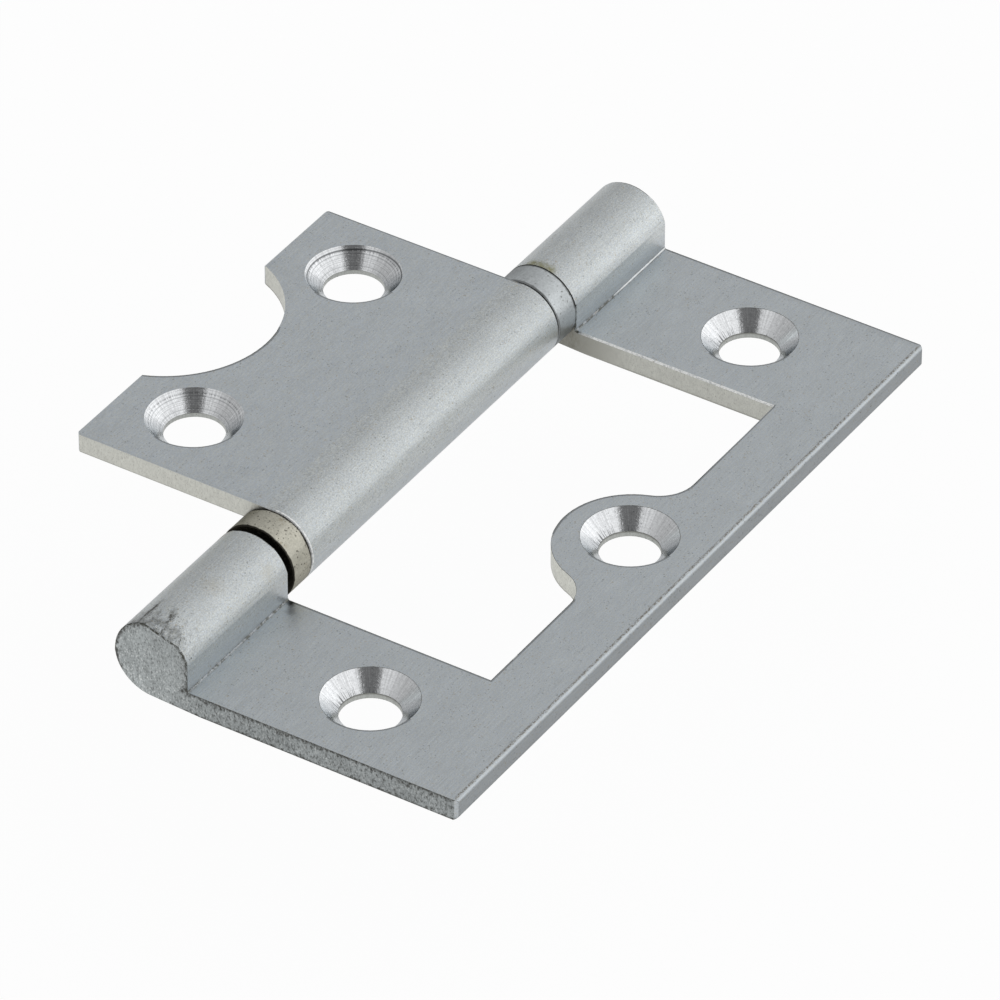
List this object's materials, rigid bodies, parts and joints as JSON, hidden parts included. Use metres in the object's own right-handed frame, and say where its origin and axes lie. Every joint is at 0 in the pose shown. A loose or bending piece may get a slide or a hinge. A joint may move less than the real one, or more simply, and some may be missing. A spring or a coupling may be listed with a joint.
{
  "type": "flush hinge",
  "caption": "Flush hinge lying open, its small notched leaf folding flat into the window of the large leaf, with countersunk screw holes and a hidden pin.",
  "frame": {"origin": "middle of the open hinge's footprint, on the plane of the large leaf's back", "axes": "+Y along the pin towards the driven end, +X towards the large leaf's long edge, +Z out of the countersunk faces"},
  "size_m": [0.043, 0.064, 0.0065],
  "materials": {
    "plated_leaf": "satin chrome plate, brushed along the pin, with small specks and rubbed edges",
    "yellowed_washer": "worn and pitted, yellowed plate",
    "bright_washer": "turned, bright",
    "pin_steel": "drawn steel rod"
  },
  "bodies": {
    "large_leaf": {"outer_leaf": "plated_leaf", "near_washer": "yellowed_washer", "far_washer": "bright_washer", "hinge_pin": "pin_steel"},
    "small_leaf": {"inner_leaf": "plated_leaf"}
  },
  "joints": [
    {"name": "leaf_turn", "type": "hinge", "parent": "large_leaf", "child": "small_leaf", "pos_m": [-0.0042, 0, 0.00335], "axis": [0, 1, 0], "range_deg": [-90, 180]}
  ]
}
